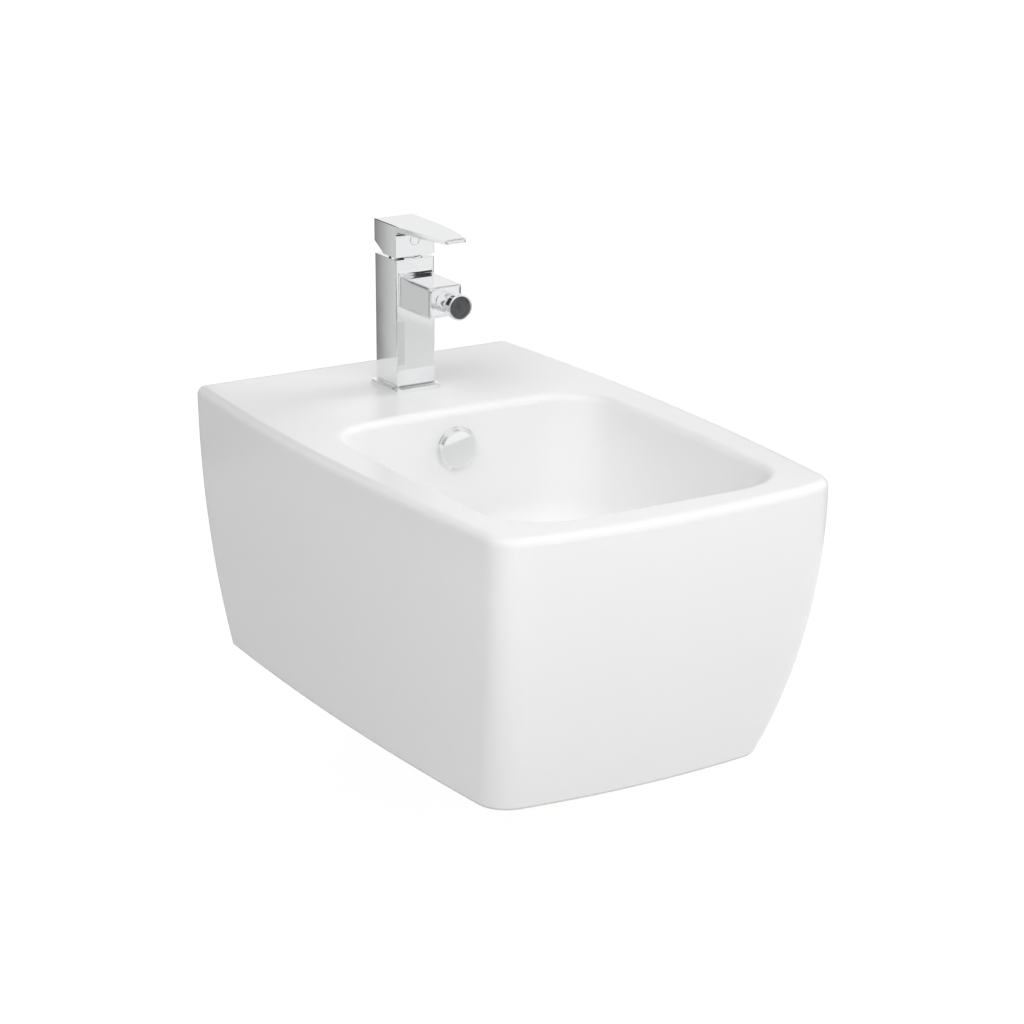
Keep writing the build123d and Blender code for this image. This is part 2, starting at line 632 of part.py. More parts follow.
def make_lever_handle():
    """Handle: flat lever, square neck, chamfered back, and a round hollow over the dome."""
    top = RIM_Z + LEVER_TOP
    low = TAP_TOP_Z + LEVER_GAP
    back = LEVER_BACK - TAP_Y
    neck = -TAP_Y - LEVER_NECK
    tip = -TAP_Y - LEVER_REACH
    points = [
        (back, top),
        (back, top - LEVER_CHAMFER_Z),
        (back - LEVER_CHAMFER_Y, low),
        (neck, low),
        (neck, top - LEVER_ROOT_T),
        (tip, top - LEVER_TIP_T),
        (tip, top),
    ]
    block_side = side_profile(points, LEVER_W)
    root = [
        e
        for e in block_side.edges().filter_by(Axis.X)
        if abs(e.center().Y - neck) < NEAR and e.center().Z > low + NEAR
    ]
    block_side = fillet(root, LEVER_FILLET)
    handle = block_side & (Pos(0, 0, low - PAST) * extrude(lever_plan(), LEVER_TOP))
    upper = [e for e in handle.edges() if e.center().Z > top - NEAR]
    handle = fillet(upper, LEVER_EDGE_R)
    ball = Pos(0, -TAP_Y, PIVOT_Z) * Sphere(DOME_R + CAVITY_GAP)
    handle -= ball & post(LEVER_W, low - LEVER_W, PIVOT_Z + CAVITY_RISE, 0, -TAP_Y)
    half = STEM_SIDE / 2 + THREAD_GAP
    roof = PIVOT_Z + STEM_RISE
    handle -= block(-half, half, -TAP_Y - half, -TAP_Y + half, PIVOT_Z, roof)
    z = PIVOT_Z + CAP_RISE
    front = TAP_Y + LEVER_NECK
    handle -= bar(GRUB_R, TAP_Y, front, 0, z)
    handle -= bar(CAP_R, front - CAP_DEPTH, front + PAST, 0, z)
    return handle


def make_grub_screw():
    """Socket set screw that clamps the handle to the stem."""
    z = PIVOT_Z + CAP_RISE
    start = TAP_Y + STEM_SIDE / 2
    screw = bar(GRUB_R - THREAD_GAP, start, start + GRUB_L, 0, z)
    key = Pos(0, -start - GRUB_L, z) * Rot(X=-90) * hex_post(KEY_AF, 0, KEY_DEPTH)
    return screw - key


def make_indicator_cap():
    """Bare round cap over the set screw."""
    z = PIVOT_Z + CAP_RISE
    front = TAP_Y + LEVER_NECK
    cap = bar(CAP_R - THREAD_GAP, front - CAP_DEPTH, front + CAP_PROUD, 0, z)
    return fillet(cap.edges().group_by(Axis.Y)[0], CAP_PROUD)


# Nozzle
def ball_at(radius):
    """Ball about the nozzle's centre."""
    return Pos(0, -BALL_Y, BALL_Z) * Sphere(radius)


def cone_bar(near_r, far_r, near, far):
    """Round tapered bar along the nozzle's axis."""
    cone = Cone(near_r, far_r, far - near, align=LOW)
    return Pos(0, -near, BALL_Z) * Rot(X=90) * cone


def make_nozzle():
    """Ball joint and its head: nipple, seal, seat band, collar, ball, head and aerator."""
    z = BALL_Z
    cup_r = SEAT_R + NIPPLE_CUP_GAP
    nipple = bar(NIPPLE_R, SPOUT_FRONT - NIPPLE_IN, BALL_Y - NIPPLE_FRONT, 0, z)
    nipple -= ball_at(cup_r)
    nipple -= bar(NIPPLE_BORE_R, SPOUT_FRONT - NIPPLE_IN - PAST, BALL_Y, 0, z)
    ring_r = (BALL_R + cup_r) / 2
    angle = radians(BALL_SEAL_ANGLE)
    ring = Torus(ring_r * sin(angle), BALL_SEAL_R)
    ring = Pos(0, -BALL_Y - ring_r * cos(angle), z) * Rot(X=90) * ring
    save("spout_nipple", nipple)
    save("ball_seal", ring)
    nose_end = BALL_Y + COLLAR_NOSE_R + PAST
    nose = ball_at(COLLAR_NOSE_R) & bar(COLLAR_R, BALL_Y, nose_end, 0, z)
    collar = nose + bar(COLLAR_R, SPOUT_FRONT, BALL_Y, 0, z)
    collar -= ball_at(SOCKET_R)
    collar -= bar(NIPPLE_R + THREAD_GAP, SPOUT_FRONT - PAST, BALL_Y, 0, z)
    collar -= bar(COLLAR_MOUTH_R, BALL_Y, nose_end, 0, z)
    save("ball_collar", collar)
    band = ball_at(SEAT_R) - ball_at(BALL_R + RUN)
    edge = BALL_R * cos(radians(SEAT_FRONT))
    band = band & bar(SEAT_R + PAST, BALL_Y - edge, BALL_Y + edge, 0, z)
    save("ball_seat", band)
    ball = ball_at(BALL_R) + bar(NECK_R, BALL_Y, NECK_END, 0, z)
    ball -= bar(NECK_BORE_R, BALL_Y - BALL_R - PAST, NECK_END + PAST, 0, z)
    save("nozzle_ball", ball)
    make_head()


def make_head():
    """Moving head with the aerator's cage, seal and screen."""
    z = BALL_Z
    front = BALL_Y + HEAD_REACH
    cup_r = COLLAR_NOSE_R + HEAD_GAP
    cup_edge = BALL_Y + sqrt(cup_r**2 - HEAD_BACK_R**2)
    flare_end = cup_edge + HEAD_FLARE_L
    head = cone_bar(HEAD_BACK_R, HEAD_R, cup_edge, flare_end)
    head += bar(HEAD_R, flare_end, front, 0, z)
    head = fillet(head.edges().group_by(Axis.Y)[0], HEAD_EDGE_R)
    head -= ball_at(cup_r)
    head -= bar(NECK_R, BALL_Y, NECK_END, 0, z)
    head -= bar(NECK_BORE_R, BALL_Y, front, 0, z)
    floor = front - HEAD_BORE_L
    head -= bar(HEAD_BORE_R, floor, front + PAST, 0, z)
    save("nozzle_head", head)
    seal_end = floor + AERATOR_SEAL_T
    seal = bar(HEAD_BORE_R - THREAD_GAP, floor, seal_end, 0, z)
    seal -= bar(HEAD_BORE_R - AERATOR_SEAL_W, floor - PAST, seal_end + PAST, 0, z)
    save("aerator_seal", seal)
    screen_near = front - SCREEN_IN - SCREEN_T
    cage_r = HEAD_BORE_R - THREAD_GAP
    cage = bar(cage_r, seal_end, screen_near, 0, z)
    cage -= bar(cage_r - CAGE_WALL, seal_end + CAGE_WALL, screen_near + PAST, 0, z)
    cage -= bar(NECK_BORE_R, seal_end - PAST, front, 0, z)
    save("aerator_cage", cage)
    save("aerator_screen", bar(cage_r, screen_near, screen_near + SCREEN_T, 0, z))


# Overflow
def make_overflow():
    """Chrome cover on the bowl's back wall and the sleeve that it clips into."""
    z = OVERFLOW_Z
    ring_end = BOWL_BACK + COVER_RING_T
    ring = bar(COVER_R, BOWL_BACK, ring_end, 0, z)
    face = bar(COVER_FACE_R, BOWL_BACK, BOWL_BACK + COVER_FACE_OUT, 0, z)
    face = fillet(face.edges().group_by(Axis.Y)[0], COVER_EDGE_R)
    cover = fillet(ring.edges().group_by(Axis.Y)[0], COVER_RING_T / 2) + face
    inside = OVERFLOW_HOLE_R - SLIP - INSERT_T
    cover -= bar(inside, BOWL_BACK - PAST, BOWL_BACK + COVER_FACE_OUT - INSERT_T, 0, z)
    slot_half = OVERFLOW_HOLE_R / 2
    slot_top = z - COVER_FACE_R + INSERT_T
    mouth = -BOWL_BACK - COVER_RING_T
    inlet_top = slot_top + COVER_SLOT_H
    cover -= block(-slot_half, slot_half, mouth, PAST - BOWL_BACK, z - COVER_R - PAST, inlet_top)
    save("overflow_cover", cover)
    sleeve = bar(OVERFLOW_HOLE_R - SLIP, BOWL_BACK - INSERT_L, BOWL_BACK, 0, z)
    sleeve -= bar(inside, BOWL_BACK - INSERT_L - PAST, BOWL_BACK + PAST, 0, z)
    save("overflow_insert", sleeve)


# Waste
def make_waste():
    """Flanged waste with overflow windows, its seals and nut, and the click-clack plug."""
    y = -WASTE_Y
    seat = FLOOR_Z - RECESS_T
    flange_low = seat + FLANGE_SEAL_T
    tail_low = FLOOR_Z - TAIL_END
    save("flange_seal", tube(FLANGE_R - FLANGE_SEAL_IN, TAIL_R + SLIP, seat, flange_low, 0, y))
    body = post(FLANGE_R, flange_low, flange_low + FLANGE_T, 0, y)
    body = fillet(body.edges().group_by(Axis.Z)[-1], FLANGE_T / 2)
    body += post(TAIL_R, tail_low, flange_low + PAST, 0, y)
    body -= post(TAIL_BORE_R, tail_low - PAST, flange_low + FLANGE_T + PAST, 0, y)
    groove_low = tail_low + TRAP_THREAD_L
    groove_r = TAIL_R - THREAD_GROOVE_D
    body -= tube(TAIL_R + PAST, groove_r, groove_low, groove_low + THREAD_GROOVE_W, 0, y)
    window_top = FLOOR_Z - WASTE_SLOT_TOP
    window_low = window_top - WASTE_SLOT_H
    half = WASTE_SLOT_W / 2
    window = block(-half, half, -TAIL_R - PAST, TAIL_R + PAST, window_low, window_top)
    body -= [Pos(0, y, 0) * Rot(Z=turn) * window for turn in (0, 90)]
    spider_top = FLOOR_Z - SPIDER_DEPTH
    spider_low = spider_top - SPIDER_T
    arm_half = SPIDER_ARM_W / 2
    arm_end = (TAIL_R + TAIL_BORE_R) / 2
    arm = block(-arm_half, arm_half, -arm_end, arm_end, spider_low, spider_top)
    body += [Pos(0, y, 0) * Rot(Z=turn) * arm for turn in (0, 90)]
    body += post(CLICK_R, spider_low, spider_top, 0, y)
    save("waste_body", body)
    boss_low = FLOOR_Z - WASTE_BOSS_L
    seal_low = boss_low - LOWER_SEAL_T
    inner = TAIL_R + THREAD_GAP
    save("lower_seal", tube(LOWER_SEAL_R, inner, seal_low, boss_low, 0, y))
    nut_low = seal_low - BACK_NUT_T
    nut = hex_post(BACK_NUT_AF, nut_low, seal_low, 0, y)
    save("back_nut", nut - post(inner, nut_low - PAST, seal_low + PAST, 0, y))
    click = post(CLICK_R, spider_top, spider_top + CLICK_L, 0, y)
    bore_low = spider_top + CLICK_FLOOR
    click -= post(PLUG_STEM_R + RUN, bore_low, spider_top + CLICK_L + PAST, 0, y)
    save("click_cartridge", click)
    shut_low = flange_low + FLANGE_T + PLUG_SHUT_GAP + PLUG_SEAL_T
    plug_low = shut_low + PLUG_LIFT
    disc = post(PLUG_R, plug_low, plug_low + PLUG_T, 0, y)
    plug = fillet(disc.edges().group_by(Axis.Z)[-1], PLUG_DOME)
    plug += post(PLUG_STEM_R, plug_low - PLUG_STEM_L, plug_low + PAST, 0, y)
    save("waste_plug", plug)
    ring_low = plug_low - PLUG_SEAL_T
    ring = tube(PLUG_R - PLUG_SEAL_IN, PLUG_STEM_R + THREAD_GAP, ring_low, plug_low, 0, y)
    save("plug_seal", ring)


def main():
    os.makedirs("parts", exist_ok=True)
    save("ceramic_body", make_ceramic())
    make_wall_fixing()
    save("tap_body", make_tap_body())
    save("tap_base_plate", make_base_plate())
    save("base_seal", make_base_seal())
    make_tap_clamp()
    make_cartridge()
    save("cartridge_dome", make_dome())
    save("turret", make_turret())
    save("turret_pin", make_turret_pin())
    save("lever_stem", make_lever_stem())
    save("lever_handle", make_lever_handle())
    save("grub_screw", make_grub_screw())
    save("indicator_cap", make_indicator_cap())
    make_nozzle()
    make_overflow()
    make_waste()


main()
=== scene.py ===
# %% [markdown]
# A wall-hung bidet hangs on two studs, so nothing of it touches the ground. Everything here
# is measured in metres from the middle point between those two studs: X runs to the right,
# Y into the wall and Z up. The rigid pieces come ready made and stay where they are. This
# script gives them their finish, adds the fine pieces, and sets up a small photo studio.

# %% Load the fixed pieces
import json
from math import atan2, degrees, pi, radians

import bmesh
import bpy
from mathutils import Matrix, Vector


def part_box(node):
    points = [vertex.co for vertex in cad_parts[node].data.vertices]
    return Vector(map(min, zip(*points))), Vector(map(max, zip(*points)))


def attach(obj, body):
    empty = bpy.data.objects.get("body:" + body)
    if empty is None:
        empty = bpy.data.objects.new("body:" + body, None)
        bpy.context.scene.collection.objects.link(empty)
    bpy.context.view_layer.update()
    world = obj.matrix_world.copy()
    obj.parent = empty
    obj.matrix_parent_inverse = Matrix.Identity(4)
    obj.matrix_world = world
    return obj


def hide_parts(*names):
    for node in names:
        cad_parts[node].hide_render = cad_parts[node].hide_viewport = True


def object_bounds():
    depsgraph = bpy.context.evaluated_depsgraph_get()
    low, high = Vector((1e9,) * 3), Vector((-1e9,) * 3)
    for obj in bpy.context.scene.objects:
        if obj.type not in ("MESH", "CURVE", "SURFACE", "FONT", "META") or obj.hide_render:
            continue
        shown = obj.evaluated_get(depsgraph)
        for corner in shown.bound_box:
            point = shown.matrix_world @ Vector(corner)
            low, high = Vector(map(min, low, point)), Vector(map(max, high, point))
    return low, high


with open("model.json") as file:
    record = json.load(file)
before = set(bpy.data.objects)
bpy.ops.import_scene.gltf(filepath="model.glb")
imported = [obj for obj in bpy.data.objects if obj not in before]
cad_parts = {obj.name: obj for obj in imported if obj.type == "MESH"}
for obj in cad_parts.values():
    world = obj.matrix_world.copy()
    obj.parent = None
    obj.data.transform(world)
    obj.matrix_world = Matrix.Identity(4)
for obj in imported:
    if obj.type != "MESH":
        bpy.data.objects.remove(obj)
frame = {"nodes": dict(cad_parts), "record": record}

cad_low, cad_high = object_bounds()
nodes = frame["nodes"]
scene = bpy.context.scene
print("box in mm:", [round(1000 * v) for v in cad_low], [round(1000 * v) for v in cad_high])

# %% [markdown]
# The picture was taken with a long lens from a little above the rim, to the left of the front. A camera aims
# along its own minus Z, so the direction to the target is turned into a rotation with to_track_quat. The lens is
# given as a number, which was worked out from the distance: a 36 mm wide sensor and a long focal length keep the
# verticals nearly parallel.

# %% Camera
CAMERA_PLACE = Vector((-1.4024, -2.6277, 0.8691))
CAMERA_TARGET = Vector((0.00391, -0.280, 0.00574))
CAMERA_LENS = 113.4
CAMERA_SENSOR = 36.0


def aim(thing, place, target):
    """Put a camera or lamp at a place and turn it to a target."""
    thing.location = place
    thing.rotation_mode = "QUATERNION"
    thing.rotation_quaternion = (target - place).to_track_quat("-Z", "Y")


camera_data = bpy.data.cameras.new("camera")
camera_data.lens = CAMERA_LENS
camera_data.sensor_width = CAMERA_SENSOR
camera_data.clip_start = 0.05
camera_data.clip_end = 100.0
camera = bpy.data.objects.new("camera", camera_data)
scene.collection.objects.link(camera)
scene.camera = camera
aim(camera, CAMERA_PLACE, CAMERA_TARGET)
scene.view_settings.view_transform = "Standard"
look = CAMERA_TARGET - CAMERA_PLACE
print("camera azimuth", round(degrees(atan2(look.x, look.y)), 1), "distance", round(look.length, 3))

# %% [markdown]
# Each finish is a small tree of shader nodes. Three helpers keep the trees short: one starts
# a material and hands back its main shader, one adds a node and fills in its inputs, and one
# reads the object's own coordinates. Those coordinates are in metres here, so a noise scale
# of 100 means about one bump per centimetre.


# %% Helpers for materials
def new_material(name):
    """A material with its node tree and its Principled shader."""
    material = bpy.data.materials.new(name)
    material.use_nodes = True
    tree = material.node_tree
    return material, tree, tree.nodes["Principled BSDF"]


def add(tree, kind, links=(), **values):
    """Add a node, set its inputs by name, and link outputs into it."""
    node = tree.nodes.new(kind)
    for key, value in values.items():
        label = key.replace("_", " ")
        if label in node.inputs:
            node.inputs[label].default_value = value
        else:
            setattr(node, key, value)
    for output, socket in links:
        tree.links.new(output, node.inputs[socket])
    return node


def place_on_object(tree):
    """The point on the object, in metres."""
    return add(tree, "ShaderNodeTexCoord").outputs["Object"]


def noise(tree, point, scale, detail=2.0, roughness=0.5):
    """Noise between 0 and 1 that varies over the object."""
    node = add(tree, "ShaderNodeTexNoise", [(point, "Vector")])
    node.inputs["Scale"].default_value = scale
    node.inputs["Detail"].default_value = detail
    node.inputs["Roughness"].default_value = roughness
    return node.outputs["Fac"]


def spread(tree, value, low, high, start=0.3, end=0.7):
    """Stretch a value from one range to another, and stop at its ends."""
    node = add(tree, "ShaderNodeMapRange", [(value, "Value")])
    node.inputs["From Min"].default_value = start
    node.inputs["From Max"].default_value = end
    node.inputs["To Min"].default_value = low
    node.inputs["To Max"].default_value = high
    return node.outputs["Result"]


def shades(tree, value, dark, light, start=0.3, end=0.7):
    """A colour between two, picked by a value."""
    ramp = add(tree, "ShaderNodeValToRGB", [(value, "Fac")])
    ramp.color_ramp.elements[0].color = (*dark, 1.0)
    ramp.color_ramp.elements[1].color = (*light, 1.0)
    ramp.color_ramp.elements[0].position = start
    ramp.color_ramp.elements[1].position = end
    return ramp.outputs["Color"]


def bump(tree, height, depth, strength=1.0):
    """Turn a height between 0 and 1 into a tilt of the surface, for a depth in metres."""
    node = add(tree, "ShaderNodeBump", [(height, "Height")])
    node.inputs["Strength"].default_value = strength
    node.inputs["Distance"].default_value = depth
    return node.outputs["Normal"]


print("material helpers ready")

# %% [markdown]
# Vitreous china is fired clay under a skin of white glass. The glaze is nearly even in
# colour, but it is never perfectly flat: it ran a little in the kiln, so its reflections
# waver. Its noise is used over the whole range from 0 to 1, because a noise that is cut off
# at both ends leaves flat islands with a visible shore. The back that goes to the wall and
# the lower edge stay bare, because the piece stands on them in the kiln. One material holds
# both, mixed by the place on the object.

# %% Glazed china
GLAZE_DARK = (0.915, 0.917, 0.915)
GLAZE_LIGHT = (0.930, 0.932, 0.930)
CLAY_DARK = (0.72, 0.69, 0.63)
CLAY_LIGHT = (0.80, 0.77, 0.71)
BARE_BACK = 0.0012
BARE_FOOT = 0.0020
FADE = 0.0010


def glazed_china():
    """White glaze with a slow ripple, bare clay at the wall and at the lower edge."""
    material, tree, shader = new_material("glazed_china")
    point = place_on_object(tree)
    patch = noise(tree, point, 5.0, 0.0)
    ripple = noise(tree, point, 14.0, 0.0)
    skin = noise(tree, point, 700.0, 2.0)
    waves = add(tree, "ShaderNodeMath", [(skin, 0)], operation="MULTIPLY_ADD")
    waves.inputs[1].default_value = 0.03
    tree.links.new(ripple, waves.inputs[2])
    shader.inputs["IOR"].default_value = 1.5
    colour = shades(tree, patch, GLAZE_DARK, GLAZE_LIGHT, 0.0, 1.0)
    tree.links.new(colour, shader.inputs["Base Color"])
    tree.links.new(spread(tree, patch, 0.285, 0.325, 0.0, 1.0), shader.inputs["Roughness"])
    tree.links.new(bump(tree, waves.outputs["Value"], 0.0006), shader.inputs["Normal"])

    clay = add(tree, "ShaderNodeBsdfPrincipled")
    grain = noise(tree, point, 900.0, 6.0, 0.7)
    tree.links.new(shades(tree, grain, CLAY_DARK, CLAY_LIGHT), clay.inputs["Base Color"])
    tree.links.new(spread(tree, grain, 0.75, 0.95), clay.inputs["Roughness"])
    tree.links.new(bump(tree, grain, 0.0003), clay.inputs["Normal"])

    split = add(tree, "ShaderNodeSeparateXYZ", [(point, "Vector")])
    back = spread(tree, split.outputs["Y"], 0.0, 1.0, -BARE_BACK - FADE, -BARE_BACK)
    foot_z = cad_low.z + BARE_FOOT
    foot = spread(tree, split.outputs["Z"], 1.0, 0.0, foot_z, foot_z + FADE)
    bare = add(tree, "ShaderNodeMath", [(back, 0), (foot, 1)], operation="MAXIMUM")
    mix = add(tree, "ShaderNodeMixShader", [(bare.outputs["Value"], 0)])
    tree.links.new(shader.outputs["BSDF"], mix.inputs[1])
    tree.links.new(clay.outputs["BSDF"], mix.inputs[2])
    tree.links.new(mix.outputs["Shader"], tree.nodes["Material Output"].inputs["Surface"])
    return material


china = glazed_china()
print("made", china.name)

# %% [markdown]
# Chrome plating is a mirror with a slightly cold tint. What makes it read as metal is what
# it reflects, so the material itself stays simple: a high, even reflectance, a very low
# roughness that rises a little in faint wiping marks, and an almost invisible ripple left by
# the polishing wheel. The wheel also eases the edges, most at the free ends of the spout and
# of the lever, where it gets at them from outside. The Bevel node bends the shading over an
# edge as if it were rounded, which gives the edge its own thin line of reflection.

# %% Chrome
CHROME_TINT = (0.942, 0.947, 0.955)
EDGE_SHARP = 0.0006
EDGE_EASED = 0.0011
EDGE_SOFT = 0.0042
SOFT_FRONT = (-0.138, -0.124)
SOFT_FOOT = (0.0860, 0.0895)


def chrome_plate(name, big):
    """Polished plating with faint wiping marks; a big casting has softer free ends."""
    material, tree, shader = new_material(name)
    point = place_on_object(tree)
    shader.inputs["Metallic"].default_value = 1.0
    shader.inputs["Base Color"].default_value = (*CHROME_TINT, 1.0)
    marks = noise(tree, point, 160.0, 5.0, 0.6)
    wheel = noise(tree, point, 40.0, 0.0)
    split = add(tree, "ShaderNodeSeparateXYZ", [(point, "Vector")])
    front = spread(tree, split.outputs["Y"], EDGE_SOFT, EDGE_SHARP, *SOFT_FRONT)
    foot = spread(tree, split.outputs["Z"], EDGE_SOFT, EDGE_SHARP, *SOFT_FOOT)
    radius = add(tree, "ShaderNodeMath", [(front, 0), (foot, 1)], operation="MAXIMUM")
    eased = add(tree, "ShaderNodeBevel", Radius=EDGE_EASED)
    if big:
        tree.links.new(radius.outputs["Value"], eased.inputs["Radius"])
    eased.samples = 6
    ripple = add(tree, "ShaderNodeBump", [(wheel, "Height"), (eased.outputs["Normal"], "Normal")])
    ripple.inputs["Distance"].default_value = 0.00005
    tree.links.new(spread(tree, marks, 0.030, 0.065), shader.inputs["Roughness"])
    tree.links.new(ripple.outputs["Normal"], shader.inputs["Normal"])
    return material


chrome = chrome_plate("chrome_plate", False)
chrome_soft = chrome_plate("chrome_plate_soft", True)
print("made", chrome.name, "and", chrome_soft.name)

# %% [markdown]
# Turned brass and plated steel show the rings that the cutting tool left. A noise squeezed
# along one axis makes such rings: the coordinates are scaled so that the noise changes fast
# along the axis and hardly at all around it. Rubber and moulded plastic are dull, with a
# fine grain from the mould.


# %% Hidden metals, rubber and plastics
def turned_metal(name, dark, light, low, high):
    """Metal with fine tool rings along Z."""
    material, tree, shader = new_material(name)
    point = place_on_object(tree)
    squeeze = add(tree, "ShaderNodeMapping", [(point, "Vector")])
    squeeze.inputs["Scale"].default_value = (0.06, 0.06, 1.0)
    rings = noise(tree, squeeze.outputs["Vector"], 2500.0, 3.0)
    stain = noise(tree, point, 120.0, 4.0)
    shader.inputs["Metallic"].default_value = 1.0
    tree.links.new(shades(tree, stain, dark, light), shader.inputs["Base Color"])
    tree.links.new(spread(tree, stain, low, high), shader.inputs["Roughness"])
    tree.links.new(bump(tree, rings, 0.00005), shader.inputs["Normal"])
    return material


def moulded(name, dark, light, low, high, grain_scale, depth):
    """Rubber or plastic with a fine mould grain."""
    material, tree, shader = new_material(name)
    point = place_on_object(tree)
    grain = noise(tree, point, grain_scale, 3.0)
    cloud = noise(tree, point, 70.0, 2.0)
    tree.links.new(shades(tree, cloud, dark, light), shader.inputs["Base Color"])
    tree.links.new(spread(tree, grain, low, high), shader.inputs["Roughness"])
    tree.links.new(bump(tree, grain, depth), shader.inputs["Normal"])
    return material


brass = turned_metal("turned_brass", (0.66, 0.50, 0.25), (0.74, 0.58, 0.31), 0.28, 0.38)
steel = turned_metal("plated_steel", (0.54, 0.55, 0.56), (0.64, 0.65, 0.66), 0.28, 0.42)
rubber = moulded("black_rubber", (0.020, 0.020, 0.021), (0.034, 0.034, 0.035), 0.55, 0.75, 1800, 0.00008)
white_plastic = moulded("white_plastic", (0.78, 0.78, 0.76), (0.83, 0.83, 0.81), 0.32, 0.46, 1400, 0.00004)
grey_plastic = moulded("grey_plastic", (0.25, 0.26, 0.28), (0.30, 0.31, 0.33), 0.35, 0.50, 1400, 0.00004)
screen_plastic = moulded("screen_plastic", (0.150, 0.152, 0.158), (0.19, 0.19, 0.195), 0.30, 0.45, 1600, 0.00004)
print("made", len(bpy.data.materials), "materials")

# %% [markdown]
# The record of the part already says which slot each piece belongs to. A table from slot to
# material dresses all the fixed pieces in one loop, and no piece can be forgotten.

# %% Dress the fixed pieces
FINISH = {
    "ceramic": china,
    "chrome": chrome,
    "waste_chrome": chrome,
    "brass": brass,
    "steel": steel,
    "rubber": rubber,
    "white_plastic": white_plastic,
    "grey_plastic": grey_plastic,
    "screen": screen_plastic,
}
SOFT_NODES = ("tap_body", "tap_base_plate", "lever_handle")
for part in frame["record"]["subparts"]:
    mesh = nodes[part["node"]].data
    mesh.materials.clear()
    soft_edges = part["node"] in SOFT_NODES
    mesh.materials.append(chrome_soft if soft_edges else FINISH[part["material_slot"]])

# %% [markdown]
# Some pieces repeat a small form many times, and Geometry Nodes are made for that. The three
# helpers below open an empty tree with named inputs, add a calculation to it, and run a tree
# once to keep the result as a plain mesh. A modifier finds its inputs by a hidden
# identifier and not by the name in the tree, so the names are looked up first.


# %% Helpers for geometry trees
def new_tree(name, sockets):
    """A geometry tree with named inputs, and its input and output nodes."""
    tree = bpy.data.node_groups.new(name, "GeometryNodeTree")
    interface = tree.interface
    interface.new_socket("Geometry", in_out="OUTPUT", socket_type="NodeSocketGeometry")
    for label, kind in sockets.items():
        interface.new_socket(label, in_out="INPUT", socket_type="NodeSocket" + kind)
    return tree, tree.nodes.new("NodeGroupInput").outputs, tree.nodes.new("NodeGroupOutput")


def math(tree, operation, *values):
    """One sum on numbers or on outputs of other nodes."""
    node = tree.nodes.new("ShaderNodeMath")
    node.operation = operation
    for socket, value in zip(node.inputs, values):
        if isinstance(value, (int, float)):
            socket.default_value = value
        else:
            tree.links.new(value, socket)
    return node.outputs["Value"]


def vector(tree, x=0.0, y=0.0, z=0.0):
    """A vector from three numbers or outputs."""
    node = tree.nodes.new("ShaderNodeCombineXYZ")
    for socket, value in zip(node.inputs, (x, y, z)):
        if isinstance(value, (int, float)):
            socket.default_value = value
        else:
            tree.links.new(value, socket)
    return node.outputs["Vector"]


def finish_tree(tree, geometry, given, output):
    """End a tree with real meshes, smooth shading and a material."""
    smooth = add(tree, "GeometryNodeSetShadeSmooth", [(geometry, "Geometry")])
    real = add(tree, "GeometryNodeRealizeInstances", [(smooth.outputs["Geometry"], "Geometry")])
    dressed = add(tree, "GeometryNodeSetMaterial", [(real.outputs["Geometry"], "Geometry")])
    tree.links.new(given["Material"], dressed.inputs["Material"])
    tree.links.new(dressed.outputs["Geometry"], output.inputs["Geometry"])


def grow(name, tree, values):
    """Run a tree once and keep what it makes as a plain mesh at the origin."""
    thing = bpy.data.objects.new(name, bpy.data.meshes.new(name))
    scene.collection.objects.link(thing)
    modifier = thing.modifiers.new("grow", "NODES")
    modifier.node_group = tree
    for item in tree.interface.items_tree:
        if item.in_out == "INPUT":
            modifier[item.identifier] = values[item.name]
    ready = bpy.context.evaluated_depsgraph_get()
    mesh = bpy.data.meshes.new_from_object(thing.evaluated_get(ready))
    thing.modifiers.remove(modifier)
    thing.data = mesh
    return thing


def volume(mesh):
    """Volume inside a closed mesh, above zero when its faces look outwards."""
    shape = bmesh.new()
    shape.from_mesh(mesh)
    inside = shape.calc_volume(signed=True)
    shape.free()
    return inside


print("geometry helpers ready")

# %% [markdown]
# The mouth of the nozzle is closed by a fine screen, woven from wires that pass over and
# under each other. Each family of wires starts as one straight curve, set down on a row of
# points. A product of two cosines then lifts every point, and the other family gets the
# opposite lift, so the wires weave. What lies outside the ring is deleted, and a small
# profile swept along each curve gives it its thickness.

# %% Woven screen
SCREEN_SOCKETS = {
    "Radius": "Float",
    "Pitch": "Float",
    "Lift": "Float",
    "Wire": "Float",
    "Ring": "Float",
    "Wires": "Int",
    "Steps": "Int",
    "Sides": "Int",
    "Material": "Material",
}
SCREEN_PITCH = 0.00065
SCREEN_WIRE = 0.00013
SCREEN_LIFT = 0.00015
SCREEN_RING = 0.00028
STEPS_PER_PITCH = 4


